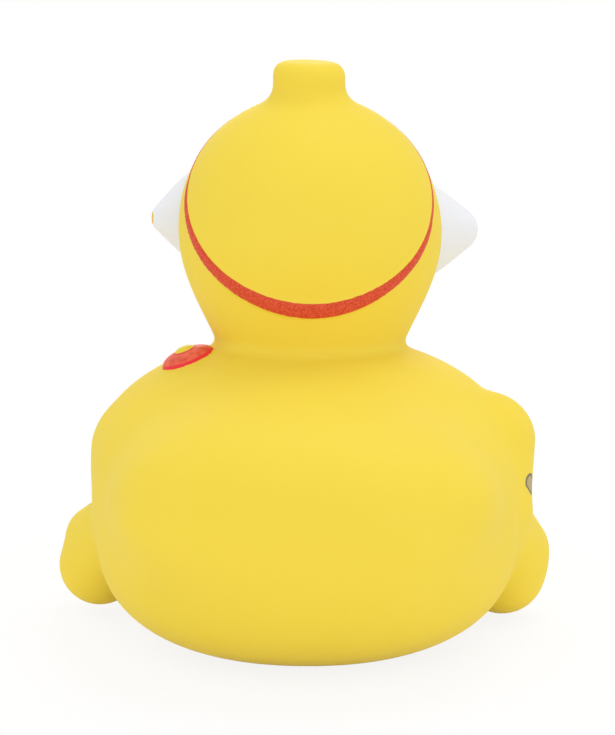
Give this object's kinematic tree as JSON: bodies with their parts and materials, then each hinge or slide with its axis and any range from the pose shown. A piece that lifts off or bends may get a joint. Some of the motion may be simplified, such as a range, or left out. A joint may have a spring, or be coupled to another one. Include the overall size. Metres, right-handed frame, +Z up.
{
  "type": "rubber duck",
  "caption": "Hollow soft vinyl bath duck with arms, a domed cap with a red band and knob, white side cones, a round shoulder badge and a flat base.",
  "frame": {"origin": "middle of the footprint of the bounding box, on the surface that the duck stands on", "axes": "+Z up, -Y the way the duck faces, +X towards the duck's own left arm"},
  "size_m": [0.0796, 0.0812, 0.0897],
  "materials": {
    "yellow_vinyl": "satin"
  },
  "bodies": {
    "root": {"duck_body": "yellow_vinyl"}
  },
  "joints": []
}
